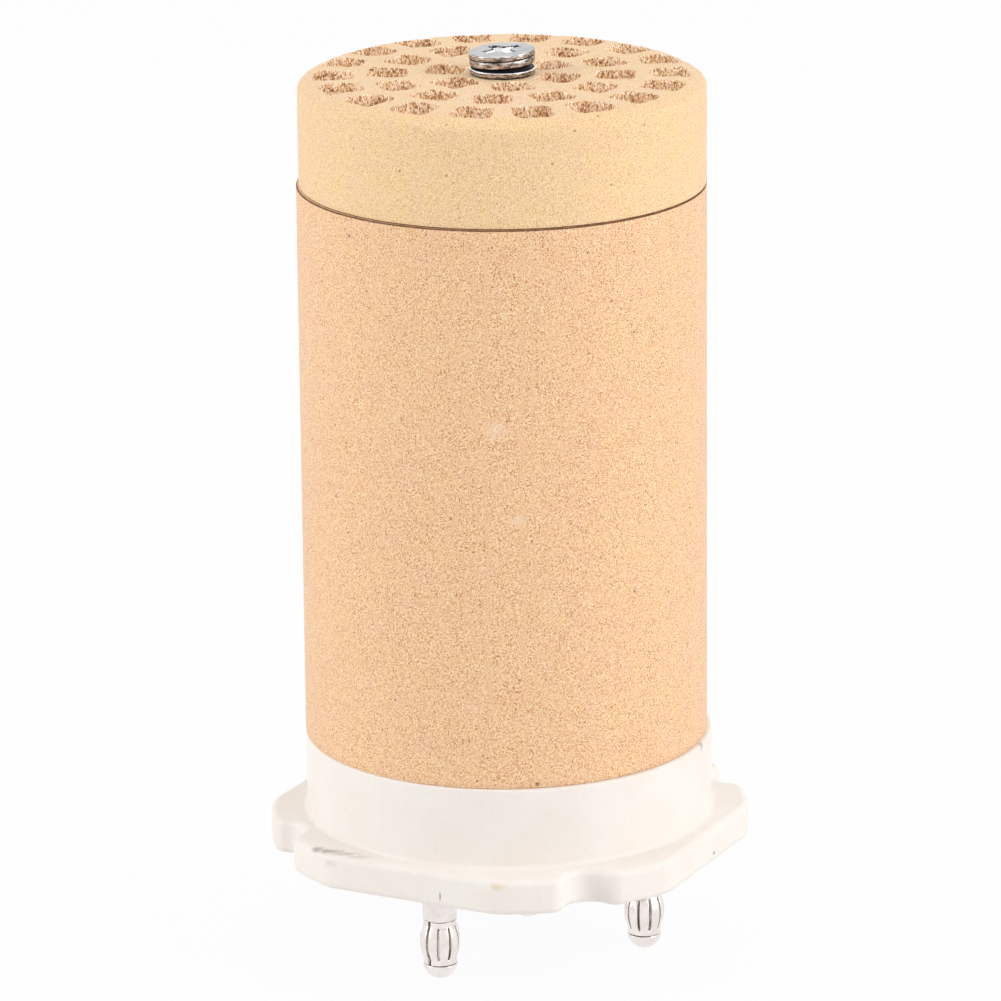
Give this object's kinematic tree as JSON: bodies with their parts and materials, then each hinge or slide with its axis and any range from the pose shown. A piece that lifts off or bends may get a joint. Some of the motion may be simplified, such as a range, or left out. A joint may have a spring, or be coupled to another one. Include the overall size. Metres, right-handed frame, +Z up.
{
  "type": "ceramic heating element",
  "caption": "Plug-in air heater: honeycomb ceramic core with coiled wire, perforated end cap, notched white flange base and spring contact pins.",
  "frame": {"origin": "on the base's axis, in the plane of the pin tips", "axes": "+Z up along the base's axis, from the pins to the cap; -Y towards the viewer of the picture"},
  "size_m": [0.056, 0.056, 0.1087],
  "materials": {
    "cap_ceramic": "matte",
    "core_ceramic": "matte",
    "white_ceramic": "matte",
    "steel": "satin",
    "plated_brass": "polished",
    "brass": "satin",
    "coil_wire": "oxidised"
  },
  "bodies": {
    "root": {"end_cap": "cap_ceramic", "heater_core": "core_ceramic", "terminal_base": "white_ceramic", "tie_screw": "steel", "spring_washer": "steel", "flat_washer": "steel", "tie_nut": "steel", "tie_nut_washer": "steel", "heating_coil_1": "coil_wire", "heating_coil_2": "coil_wire", "contact_pin_1": "plated_brass", "contact_sleeve_1": "plated_brass", "pin_washer_1": "steel", "pin_nut_1": "brass", "contact_pin_2": "plated_brass", "contact_sleeve_2": "plated_brass", "pin_washer_2": "steel", "pin_nut_2": "brass", "contact_pin_3": "plated_brass", "contact_sleeve_3": "plated_brass", "pin_washer_3": "steel", "pin_nut_3": "brass"}
  },
  "joints": []
}
